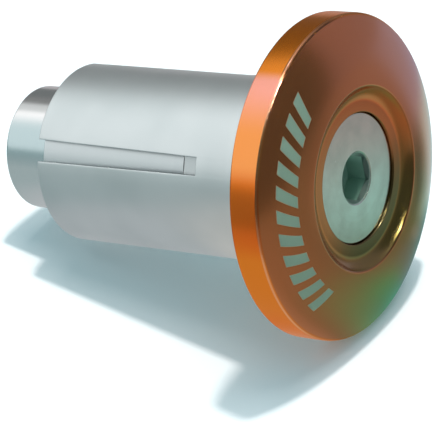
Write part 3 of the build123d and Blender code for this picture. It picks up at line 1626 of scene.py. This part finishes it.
@dataclass(frozen=True)
class Studio:
    """The table, the two sheets of the surround, the lamps, the world and the camera."""

    table: TableFrame = TableFrame()
    tabletop: Tabletop = Tabletop()
    wall: Wall = Wall("wall", (-8.0, 66.0), 74, (3.0, 2.0), (
        Patch("behind", (-36.0, 42.0), (-20.0, 39.5), (0.174, 0.178, 0.178)),
        Patch("behind_left", (-52.0, -36.0), (-20.0, 40.0), (0.56, 0.58, 0.58)),
        Patch("right", (42.0, 78.0), (-20.0, 50.0), (0.30, 0.28, 0.33)),
        Patch("front", (78.0, 228.0), (-20.0, 62.0), (0.10, 0.115, 0.10)),
        Patch("left", (228.0, 275.0), (-20.0, 5.5), (0.37, 0.45, 0.45)),
        Patch("spark", (113.0, 118.0), (57.5, 61.0), (440.0, 424.0, 366.0)),
    ))
    mat: Mat = Mat("mat", (1.0, 650.0), 84, (6.0, 0.16), (
        Patch("behind", (30.0, 57.0), (14.0, 60.0), (0.50, 0.73, 0.78)),
        Patch("behind_far", (30.0, 62.0), (60.0, 800.0), (0.37, 0.42, 0.62)),
        Patch("right_near", (57.0, 92.0), (6.0, 24.0), (0.14, 0.31, 0.31)),
        Patch("right_grey", (86.0, 120.0), (4.5, 15.8), (0.15, 0.14, 0.30), 1.6),
        Patch("right_green", (97.0, 131.0), (4.5, 26.0), (0.04, 0.66, 0.38), 2.2),
        Patch("right_pale", (58.0, 71.0), (24.0, 32.0), (0.31, 0.67, 0.66)),
        Patch("right_edge", (57.0, 65.0), (31.5, 40.0), (0.27, 0.52, 0.50)),
        Patch("right_dim", (57.0, 65.0), (40.0, 60.0), (0.18, 0.22, 0.20)),
        Patch("right_dark", (65.0, 76.0), (31.5, 60.0), (0.02, 0.12, 0.11)),
        Patch("right_olive", (70.0, 92.0), (24.5, 40.0), (0.13, 0.265, 0.17)),
        Patch("right_teal", (74.0, 92.0), (40.0, 64.0), (0.45, 0.73, 0.655)),
        Patch("right_mauve", (74.0, 92.0), (64.0, 92.0), (0.52, 0.38, 0.355)),
        Patch("right_mid", (62.0, 74.0), (60.0, 92.0), (0.30, 0.26, 0.26)),
        Patch("right_far", (62.0, 80.0), (92.0, 800.0), (0.33, 0.29, 0.29)),
        Patch("right_low", (80.0, 92.0), (92.0, 800.0), (0.18, 0.18, 0.16)),
        Patch("front_right", (88.0, 120.0), (19.0, 800.0), (0.22, 0.24, 0.19), 2.0),
        Patch("front_red", (112.0, 150.0), (19.0, 800.0), (0.30, 0.29, 0.24), 2.0),
        Patch("front_foot", (120.0, 152.0), (4.5, 28.0), (0.24, 0.26, 0.21), 2.4),
        Patch("front_glow", (148.0, 183.0), (8.5, 14.8), (0.66, 0.38, 0.15)),
        Patch("front_near", (145.0, 235.0), (0.5, 62.0), (0.63, 0.59, 0.56)),
        Patch("front", (145.0, 235.0), (62.0, 800.0), (0.34, 0.36, 0.36)),
        Patch("left_near", (235.0, 305.0), (0.5, 26.0), (0.50, 0.51, 0.52)),
        Patch("left", (235.0, 305.0), (26.0, 800.0), (0.38, 0.44, 0.445)),
        Patch("back", (-55.0, 30.0), (40.0, 800.0), (0.50, 0.46, 0.47)),
    ))
    key: Sun = Sun("key_lamp", 16.0, 76.5, 4.3, 2.0, (1.0, 0.975, 0.955), mirrored=True)
    soft: Sun = Sun("soft_lamp", 16.0, 76.5, 40.0, 1.08, (1.0, 0.975, 0.955), mirrored=False)
    camera: PhotoCamera = PhotoCamera()
    fill: Colour = (0.31, 0.475, 0.54)
    white: Colour = (1.0, 1.0, 1.0)

    def light_world(self) -> None:
        """Gives the world white for the eye and for reflections, and a cool fill for the rest."""
        world = bpy.data.worlds.new("studio")
        bpy.context.scene.world = world
        world.use_nodes = True
        tree = ShaderTree(world.node_tree)
        lights = []
        for colour in (self.fill, self.white):
            inputs = {"Color": colour, "Strength": 1.0}
            lights.append(tree.add("ShaderNodeBackground", None, inputs)["Background"])
        tree.surface(tree.mix(tree.seen(), *lights), "ShaderNodeOutputWorld")

    def build(self) -> None:
        """Sets up the whole studio."""
        self.light_world()
        for item in (self.tabletop, self.wall, self.mat, self.key, self.soft, self.camera):
            item.build(self.table)
        bpy.context.scene.view_settings.view_transform = "Standard"
        LOG.info("studio: %d patches and two lamps", len(self.wall.patches) + len(self.mat.patches))


def main() -> None:
    """Loads the frame, builds and dresses each piece, and sets up the studio."""
    logging.basicConfig(level=logging.INFO, format="%(name)s: %(message)s")
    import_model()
    for piece in (EndCap(), ClampScrew(), SplitSleeve(), TaperNut()):
        piece.build()
    Studio().build()


if __name__ == "__main__":
    main()
